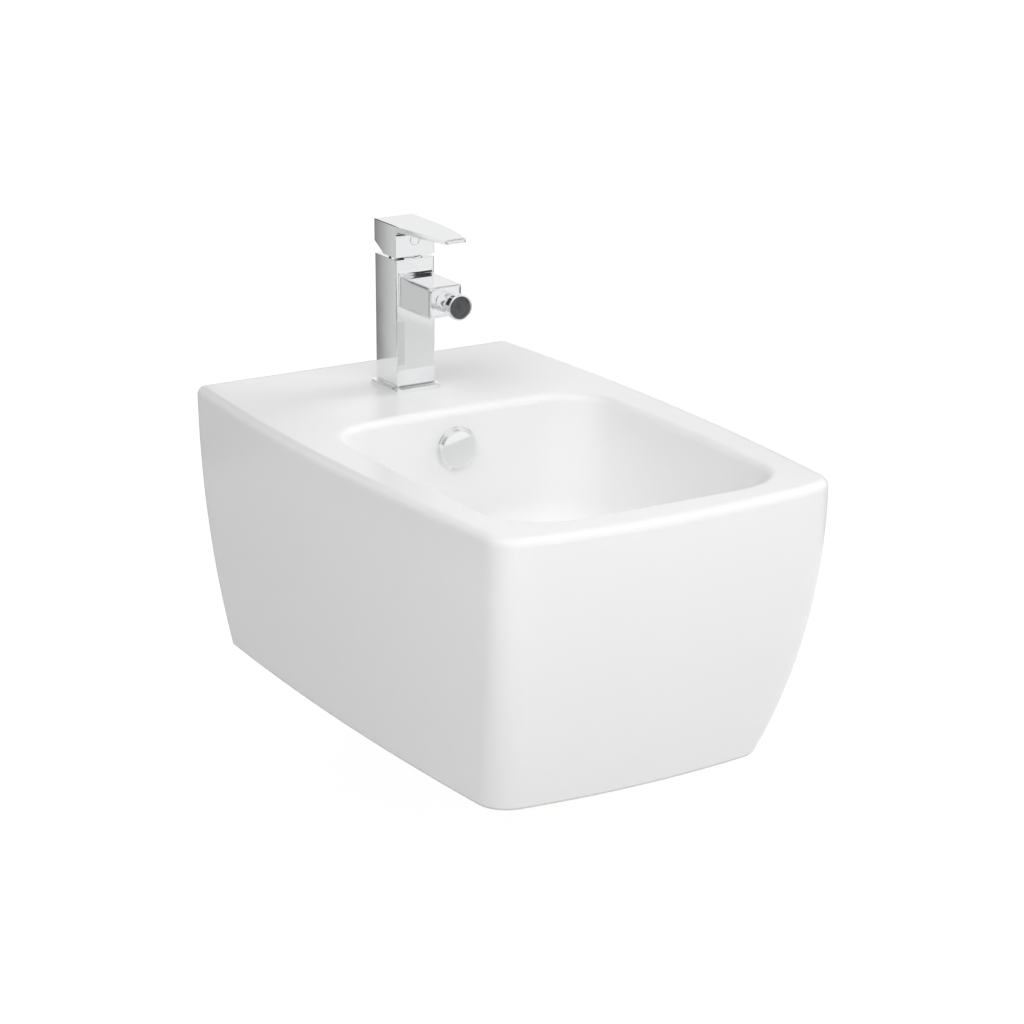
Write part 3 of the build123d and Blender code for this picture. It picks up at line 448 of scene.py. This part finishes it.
def wire_family(tree, given, turned, lift):
    """Wires side by side along X, or along Y when turned, lifted into a weave."""
    reach = math(tree, "MULTIPLY", given["Pitch"], math(tree, "DIVIDE", given["Wires"], 2.0))
    back = math(tree, "MULTIPLY", reach, -1.0)
    first = math(tree, "ADD", back, math(tree, "MULTIPLY", given["Pitch"], 0.5))
    ends = (back, 0.0), (reach, 0.0)
    start, stop = [vector(tree, *(end[::-1] if turned else end)) for end in ends]
    line = add(tree, "GeometryNodeCurvePrimitiveLine", [(start, "Start"), (stop, "End")])
    fine = add(tree, "GeometryNodeResampleCurve", [(line.outputs["Curve"], "Curve")])
    tree.links.new(given["Steps"], fine.inputs["Count"])
    pitch = given["Pitch"]
    origin = vector(tree, first, 0.0) if turned else vector(tree, 0.0, first)
    step = vector(tree, pitch, 0.0) if turned else vector(tree, 0.0, pitch)
    row = add(tree, "GeometryNodeMeshLine", [(origin, "Start Location"), (step, "Offset")])
    tree.links.new(given["Wires"], row.inputs["Count"])
    wires = add(tree, "GeometryNodeInstanceOnPoints", [(row.outputs["Mesh"], "Points")])
    tree.links.new(fine.outputs["Curve"], wires.inputs["Instance"])
    real = add(tree, "GeometryNodeRealizeInstances", [(wires.outputs["Instances"], "Geometry")])

    place = add(tree, "GeometryNodeInputPosition").outputs["Position"]
    split = add(tree, "ShaderNodeSeparateXYZ", [(place, "Vector")]).outputs
    turn = math(tree, "DIVIDE", pi, pitch)
    waves = [
        math(tree, "SINE", math(tree, "MULTIPLY", split[axis], turn)) for axis in ("X", "Y")
    ]
    height = math(tree, "MULTIPLY", math(tree, "MULTIPLY", *waves), given["Lift"])
    raised = vector(tree, 0.0, 0.0, math(tree, "MULTIPLY", height, lift))
    woven = add(tree, "GeometryNodeSetPosition", [(real.outputs["Geometry"], "Geometry")])
    tree.links.new(raised, woven.inputs["Offset"])

    squares = [math(tree, "MULTIPLY", split[axis], split[axis]) for axis in ("X", "Y")]
    away = math(tree, "SQRT", math(tree, "ADD", *squares))
    limit = math(tree, "SUBTRACT", given["Radius"], given["Ring"])
    outside = math(tree, "GREATER_THAN", away, limit)
    cut = add(tree, "GeometryNodeDeleteGeometry", [(woven.outputs["Geometry"], "Geometry")])
    tree.links.new(outside, cut.inputs["Selection"])
    return cut.outputs["Geometry"]


def swept(tree, curve, radius, sides):
    """A round rod along a curve."""
    circle = add(tree, "GeometryNodeCurvePrimitiveCircle")
    for value, label in ((radius, "Radius"), (sides, "Resolution")):
        tree.links.new(value, circle.inputs[label])
    rod = add(tree, "GeometryNodeCurveToMesh", [(curve, "Curve")], Fill_Caps=True)
    tree.links.new(circle.outputs["Curve"], rod.inputs["Profile Curve"])
    return rod.outputs["Mesh"]


def screen_tree():
    """The two wire families and the ring that holds them."""
    tree, given, output = new_tree("woven_screen", SCREEN_SOCKETS)
    join = tree.nodes.new("GeometryNodeJoinGeometry")
    for turned, lift in ((False, 1.0), (True, -1.0)):
        family = wire_family(tree, given, turned, lift)
        tree.links.new(swept(tree, family, given["Wire"], given["Sides"]), join.inputs[0])
    hoop = add(tree, "GeometryNodeCurvePrimitiveCircle", Resolution=96)
    inner = math(tree, "SUBTRACT", given["Radius"], given["Ring"])
    tree.links.new(inner, hoop.inputs["Radius"])
    tree.links.new(swept(tree, hoop.outputs["Curve"], given["Ring"], given["Sides"]), join.inputs[0])
    finish_tree(tree, join.outputs["Geometry"], given, output)
    return tree


screen_low, screen_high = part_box("aerator_screen")
screen_middle = (screen_low + screen_high) / 2
screen_radius = (screen_high.x - screen_low.x) / 2
wire_count = int(2 * (screen_radius - SCREEN_RING) / SCREEN_PITCH)
wire_count -= wire_count % 2
screen = grow("woven_screen", screen_tree(), {
    "Radius": screen_radius,
    "Pitch": SCREEN_PITCH,
    "Lift": SCREEN_LIFT,
    "Wire": SCREEN_WIRE,
    "Ring": SCREEN_RING,
    "Wires": wire_count,
    "Steps": wire_count * STEPS_PER_PITCH + 1,
    "Sides": 6,
    "Material": screen_plastic,
})
turn_to_front = Matrix.Rotation(radians(90), 4, "X")
screen.data.transform(Matrix.Translation(screen_middle) @ turn_to_front)
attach(screen, "nozzle")
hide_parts("aerator_screen")
print("screen:", wire_count, "wires each way,", len(screen.data.polygons), "faces,",
      "volume in mm3", round(volume(screen.data) * 1e9, 1))

# %% [markdown]
# The stud that pulls the tap down onto the china is threaded from end to end. A grid of
# points is rolled up: one direction becomes the angle, the other climbs along a helix, so
# that every row of points keeps to the crest, the flank or the root of the thread. Heights
# beyond either end are pressed flat onto it, and the outermost rows shrink to the middle to
# close the ends.

# %% Threaded stud
THREAD_SOCKETS = {
    "Radius": "Float",
    "Depth": "Float",
    "Pitch": "Float",
    "Length": "Float",
    "Chamfer": "Float",
    "Rows": "Int",
    "Segments": "Int",
    "Material": "Material",
}
THREAD_DEPTH = 0.00065
THREAD_PITCH = 0.00125
THREAD_CHAMFER = 0.0006
ROWS_PER_TURN = 8
THREAD_SEGMENTS = 40


def thread_tree():
    """A threaded rod that stands on the origin."""
    tree, given, output = new_tree("threaded_rod", THREAD_SOCKETS)
    grid = add(tree, "GeometryNodeMeshGrid", Size_X=1.0, Size_Y=1.0)
    tree.links.new(given["Segments"], grid.inputs["Vertices X"])
    tree.links.new(given["Rows"], grid.inputs["Vertices Y"])
    place = add(tree, "GeometryNodeInputPosition").outputs["Position"]
    split = add(tree, "ShaderNodeSeparateXYZ", [(place, "Vector")]).outputs
    around = math(tree, "ADD", split["X"], 0.5)
    along = math(tree, "ADD", split["Y"], 0.5)

    travel = math(tree, "ADD", given["Length"], given["Pitch"])
    climb = math(tree, "MULTIPLY_ADD", along, travel, math(tree, "MULTIPLY", given["Pitch"], -1.0))
    wound = math(tree, "MULTIPLY_ADD", around, given["Pitch"], climb)
    height = math(tree, "MAXIMUM", math(tree, "MINIMUM", wound, given["Length"]), 0.0)

    turns = math(tree, "SUBTRACT", math(tree, "DIVIDE", height, given["Pitch"]), around)
    groove = math(tree, "PINGPONG", turns, 0.5)
    depth = math(tree, "MULTIPLY", math(tree, "MULTIPLY", groove, 2.0), given["Depth"])
    cut = math(tree, "SUBTRACT", given["Radius"], depth)
    to_end = math(tree, "MINIMUM", height, math(tree, "SUBTRACT", given["Length"], height))
    end_radius = math(tree, "SUBTRACT", given["Radius"], given["Chamfer"])
    radius = math(tree, "MINIMUM", cut, math(tree, "ADD", end_radius, to_end))

    last = math(tree, "LESS_THAN", math(tree, "ABSOLUTE", split["Y"]), 0.49999)
    reach = math(tree, "MULTIPLY", radius, last)
    angle = math(tree, "MULTIPLY", around, 2 * pi)
    x = math(tree, "MULTIPLY", math(tree, "COSINE", angle), reach)
    y = math(tree, "MULTIPLY", math(tree, "SINE", angle), reach)
    rolled = add(tree, "GeometryNodeSetPosition", [(grid.outputs["Mesh"], "Geometry")])
    tree.links.new(vector(tree, x, y, height), rolled.inputs["Position"])
    merged = add(tree, "GeometryNodeMergeByDistance", [(rolled.outputs["Geometry"], "Geometry")])
    merged.inputs["Distance"].default_value = 0.000002
    finish_tree(tree, merged.outputs["Geometry"], given, output)
    return tree


stud_low, stud_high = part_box("tap_stud")
stud_length = stud_high.z - stud_low.z
stud = grow("threaded_stud", thread_tree(), {
    "Radius": (stud_high.x - stud_low.x) / 2,
    "Depth": THREAD_DEPTH,
    "Pitch": THREAD_PITCH,
    "Length": stud_length,
    "Chamfer": THREAD_CHAMFER,
    "Rows": int(ROWS_PER_TURN * (stud_length / THREAD_PITCH + 1)) + 1,
    "Segments": THREAD_SEGMENTS + 1,
    "Material": steel,
})
stud_middle = (stud_low + stud_high) / 2
stud.data.transform(Matrix.Translation((stud_middle.x, stud_middle.y, stud_low.z)))
if volume(stud.data) < 0:
    stud.data.flip_normals()
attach(stud, "bidet")
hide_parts("tap_stud")
print("stud:", len(stud.data.polygons), "faces, volume in mm3", round(volume(stud.data) * 1e9, 1))

# %% [markdown]
# The studio is a pale floor, 140 mm below the bidet as in a bathroom, and soft lamps. The
# world shines white for what the camera sees straight on, a little less in reflections, and
# much less for the light that falls on things. The floor does the same, so the object floats
# on white and still leaves a faint shadow. From below the floor can be looked through.

# %% Floor and world
FLOOR_DROP = 0.140
FLOOR_HALF = 30.0
FLOOR_PALE = 0.80
FLOOR_SEEN = 0.16
GLOW_NEAR = 0.91
GLOW_FAR = 0.99
GLOW_START = 0.6
GLOW_END = 2.4
WORLD_LIGHT = 0.19
MIRRORED = 0.88


def seen_directly(tree):
    """1 for what the camera sees straight on, in a reflection or through glass."""
    path = add(tree, "ShaderNodeLightPath")
    first = add(tree, "ShaderNodeMath", operation="MAXIMUM")
    tree.links.new(path.outputs["Is Camera Ray"], first.inputs[0])
    tree.links.new(path.outputs["Is Glossy Ray"], first.inputs[1])
    both = add(tree, "ShaderNodeMath", [(first.outputs["Value"], 0)], operation="MAXIMUM")
    tree.links.new(path.outputs["Is Transmission Ray"], both.inputs[1])
    return both.outputs["Value"]


def tent(tree):
    """How bright the white surroundings are: 1 straight on, less in a reflection."""
    path = add(tree, "ShaderNodeLightPath")
    return spread(tree, path.outputs["Is Glossy Ray"], 1.0, MIRRORED, 0.0, 1.0)


def floor_material():
    """Pale floor that looks nearly white, keeps a faint shadow, and is clear from below."""
    material, tree, shader = new_material("pale_floor")
    tree.nodes.remove(shader)
    point = place_on_object(tree)
    pale = shades(tree, noise(tree, point, 3.0), (FLOOR_PALE,) * 3, (FLOOR_PALE + 0.01,) * 3)
    plain = add(tree, "ShaderNodeBsdfDiffuse", [(pale, "Color")])
    mirror = add(tree, "ShaderNodeLightPath").outputs["Is Glossy Ray"]
    faint = spread(tree, mirror, FLOOR_SEEN, 0.0, 0.0, 1.0)
    seen = add(tree, "ShaderNodeBsdfDiffuse", [(faint, "Color")])
    away = add(tree, "ShaderNodeVectorMath", [(point, 0)], operation="LENGTH").outputs["Value"]
    rise = spread(tree, away, GLOW_NEAR, GLOW_FAR, GLOW_START, GLOW_END)
    level = add(tree, "ShaderNodeMath", [(rise, 0), (tent(tree), 1)], operation="MULTIPLY")
    glow = add(tree, "ShaderNodeEmission", [(level.outputs["Value"], "Strength")])
    bright = add(tree, "ShaderNodeAddShader")
    tree.links.new(seen.outputs["BSDF"], bright.inputs[0])
    tree.links.new(glow.outputs["Emission"], bright.inputs[1])
    top = add(tree, "ShaderNodeMixShader", [(seen_directly(tree), 0)])
    tree.links.new(plain.outputs["BSDF"], top.inputs[1])
    tree.links.new(bright.outputs["Shader"], top.inputs[2])
    clear = add(tree, "ShaderNodeBsdfTransparent")
    under = add(tree, "ShaderNodeNewGeometry").outputs["Backfacing"]
    whole = add(tree, "ShaderNodeMixShader", [(under, 0), (clear.outputs["BSDF"], 2)])
    tree.links.new(top.outputs["Shader"], whole.inputs[1])
    tree.links.new(whole.outputs["Shader"], tree.nodes["Material Output"].inputs["Surface"])
    return material


def flat_panel(name, corners, material):
    """One four-sided face that is part of the studio and not of the object."""
    mesh = bpy.data.meshes.new(name)
    mesh.from_pydata(corners, [], [(0, 1, 2, 3)])
    mesh.materials.append(material)
    panel = bpy.data.objects.new(name, mesh)
    scene.collection.objects.link(panel)
    return panel


floor_z = cad_low.z - FLOOR_DROP
h = FLOOR_HALF
floor_corners = [(-h, -h, floor_z), (h, -h, floor_z), (h, h, floor_z), (-h, h, floor_z)]
flat_panel("floor", floor_corners, floor_material())

world = bpy.data.worlds.new("studio")
scene.world = world
world.use_nodes = True
sky = world.node_tree
soft = sky.nodes["Background"]
soft.inputs["Color"].default_value = (1.0, 1.0, 1.0, 1.0)
soft.inputs["Strength"].default_value = WORLD_LIGHT
white = add(sky, "ShaderNodeBackground", [(tent(sky), "Strength")], Color=(1.0, 1.0, 1.0, 1.0))
choice = add(sky, "ShaderNodeMixShader", [(seen_directly(sky), 0)])
sky.links.new(soft.outputs["Background"], choice.inputs[1])
sky.links.new(white.outputs["Background"], choice.inputs[2])
sky.links.new(choice.outputs["Shader"], sky.nodes["World Output"].inputs["Surface"])
print("floor at", round(floor_z, 3))

# %% [markdown]
# Large lamps make soft edges between light and shade. The strongest hangs in front, high
# enough to reach over the rim to the bowl's back wall. The others fill the bowl from above
# on both sides, and the left side of the bidet stays a pale grey. None of them shows in a
# reflection: a mirror or a wet glaze sees only the white tent of the world around it.

# %% Lamps
MIDDLE = Vector((0.0, -0.28, 0.0))
LAMPS = {
    "front": (Vector((0.0, -2.8, 1.6)), 2.2, 26.5),
    "low_front": (Vector((0.5, -2.8, 0.0)), 2.0, 8.0),
    "left_front": (Vector((-1.9, -2.2, 1.4)), 2.0, 12.0),
    "left_top": (Vector((-1.6, -1.0, 2.5)), 1.8, 33.0),
    "right": (Vector((3.0, -0.4, 1.2)), 2.0, 56.0),
    "top": (Vector((0.0, -0.5, 3.0)), 2.4, 7.0),
    "back": (Vector((1.0, 2.7, 0.5)), 2.0, 16.0),
}


def lamp(name, place, size, power):
    """A square area lamp aimed at the middle of the bidet."""
    data = bpy.data.lights.new(name, "AREA")
    data.shape = "SQUARE"
    data.size = size
    data.energy = power
    thing = bpy.data.objects.new(name, data)
    thing.visible_glossy = False
    scene.collection.objects.link(thing)
    aim(thing, place, MIDDLE)
    return thing


for lamp_name, (lamp_place, lamp_size, lamp_power) in LAMPS.items():
    lamp(lamp_name, lamp_place, lamp_size, lamp_power)
print("lamps:", list(LAMPS))

# %% [markdown]
# A mirror in a white tent is white all over and looks like plaster. A photographer puts grey
# and black cards around it, so that faces get a slow gradient and edges a dark line. These
# cards do the same: only reflections see them, and they neither light nor shade anything.
# The card behind on the left runs from dark to pale over a hand's breadth, and the two at the
# sides from dark in front to a middle grey, for whoever looks at the tap straight from there.

# %% Cards for the reflections
DARK_TONE = 0.04
CARDS = {
    "back_left": ((-0.085, 0.150, -0.05), (-0.360, 0.150, 0.19)),
    "back_high": ((-0.085, 0.150, 0.19), (-0.300, 0.150, 0.50)),
    "back_top": ((0.030, 0.150, 0.25), (-0.085, 0.150, 0.50)),
    "left": ((-0.35, -0.02, -0.03), (-0.35, -0.66, 0.60)),
    "right": ((0.35, -0.64, -0.06), (0.35, 0.10, 0.16)),
    "above": ((0.08, -0.45, 0.60), (0.36, -0.08, 0.60)),
}
SIDE_TONES = {
    -0.30: 0.04,
    -0.18: 0.16,
    -0.09: 0.42,
    0.10: 0.60,
}
SLOPE_TONES = {
    -0.139: 0.18,
    -0.144: 0.27,
    -0.150: 0.40,
    -0.157: 0.53,
    -0.163: 0.60,
    -0.170: 0.56,
}


def card_material(name, tones, axis="X"):
    """Even or graded tone along an axis that lights nothing by itself."""
    material, tree, shader = new_material(name)
    tree.nodes.remove(shader)
    glow = add(tree, "ShaderNodeEmission")
    tree.links.new(glow.outputs["Emission"], tree.nodes["Material Output"].inputs["Surface"])
    split = add(tree, "ShaderNodeSeparateXYZ", [(place_on_object(tree), "Vector")])
    ends = sorted(tones)
    share = spread(tree, split.outputs[axis], 0.0, 1.0, ends[0], ends[-1])
    ramp = add(tree, "ShaderNodeValToRGB", [(share, "Fac")])
    marks = ramp.color_ramp.elements
    width = max(ends[-1] - ends[0], FADE)
    for number, end in enumerate(ends):
        place = (end - ends[0]) / width
        mark = marks[number] if number < 2 else marks.new(place)
        mark.position = place
        mark.color = (tones[end],) * 3 + (1.0,)
    tree.links.new(ramp.outputs["Color"], glow.inputs["Color"])
    return material


def corners_between(near, far):
    """The corners of an upright card, or of a level one when both heights are the same."""
    (x0, y0, z0), (x1, y1, z1) = near, far
    if z0 == z1:
        return [(x0, y0, z0), (x1, y0, z0), (x1, y1, z0), (x0, y1, z0)]
    return [(x0, y0, z0), (x1, y1, z0), (x1, y1, z1), (x0, y0, z1)]


def card(name, corners, material):
    """A card that only reflections see."""
    panel = flat_panel(name, corners, material)
    panel.visible_camera = False
    panel.visible_diffuse = False
    panel.visible_transmission = False
    panel.visible_volume_scatter = False
    panel.visible_shadow = False
    return panel


# The pale cover card paints a light reflection into the chrome of the cover beside it; only reflections see it.
COVER_CARD = [(0.10, -0.410, -0.0269), (0.10, -0.325, 0.0115), (0.10, -0.325, 0.014), (0.10, -0.410, 0.014)]
# The small grey band card paints a grey upright band into the reflection on the front of the tap's column; only
# reflections see it.
BAND_CARD = ((0.0241, -0.196, 0.0810), (0.0331, -0.196, 0.1232))
BAND_TONE = 0.60
COVER_TONE = 0.93
dark_card = card_material("dark_card", {-1.0: DARK_TONE, 1.0: DARK_TONE})
slope_card = card_material("slope_card", SLOPE_TONES)
side_card = card_material("side_card", SIDE_TONES, "Y")
pale_card = card_material("pale_card", {-1.0: COVER_TONE, 1.0: COVER_TONE})
GRADED = {"back_left": slope_card, "left": side_card, "right": side_card}
for card_name, ends in CARDS.items():
    card(card_name, corners_between(*ends), GRADED.get(card_name, dark_card))
# Pale card that paints a light reflection on the cover.
card("cover_reflection", COVER_CARD, pale_card)
# Grey card that paints a band into the reflection on the column's front.
grey_card = card_material("grey_card", {-1.0: BAND_TONE, 1.0: BAND_TONE})
card("column_band_reflection", corners_between(*BAND_CARD), grey_card)
print("cards:", list(CARDS))
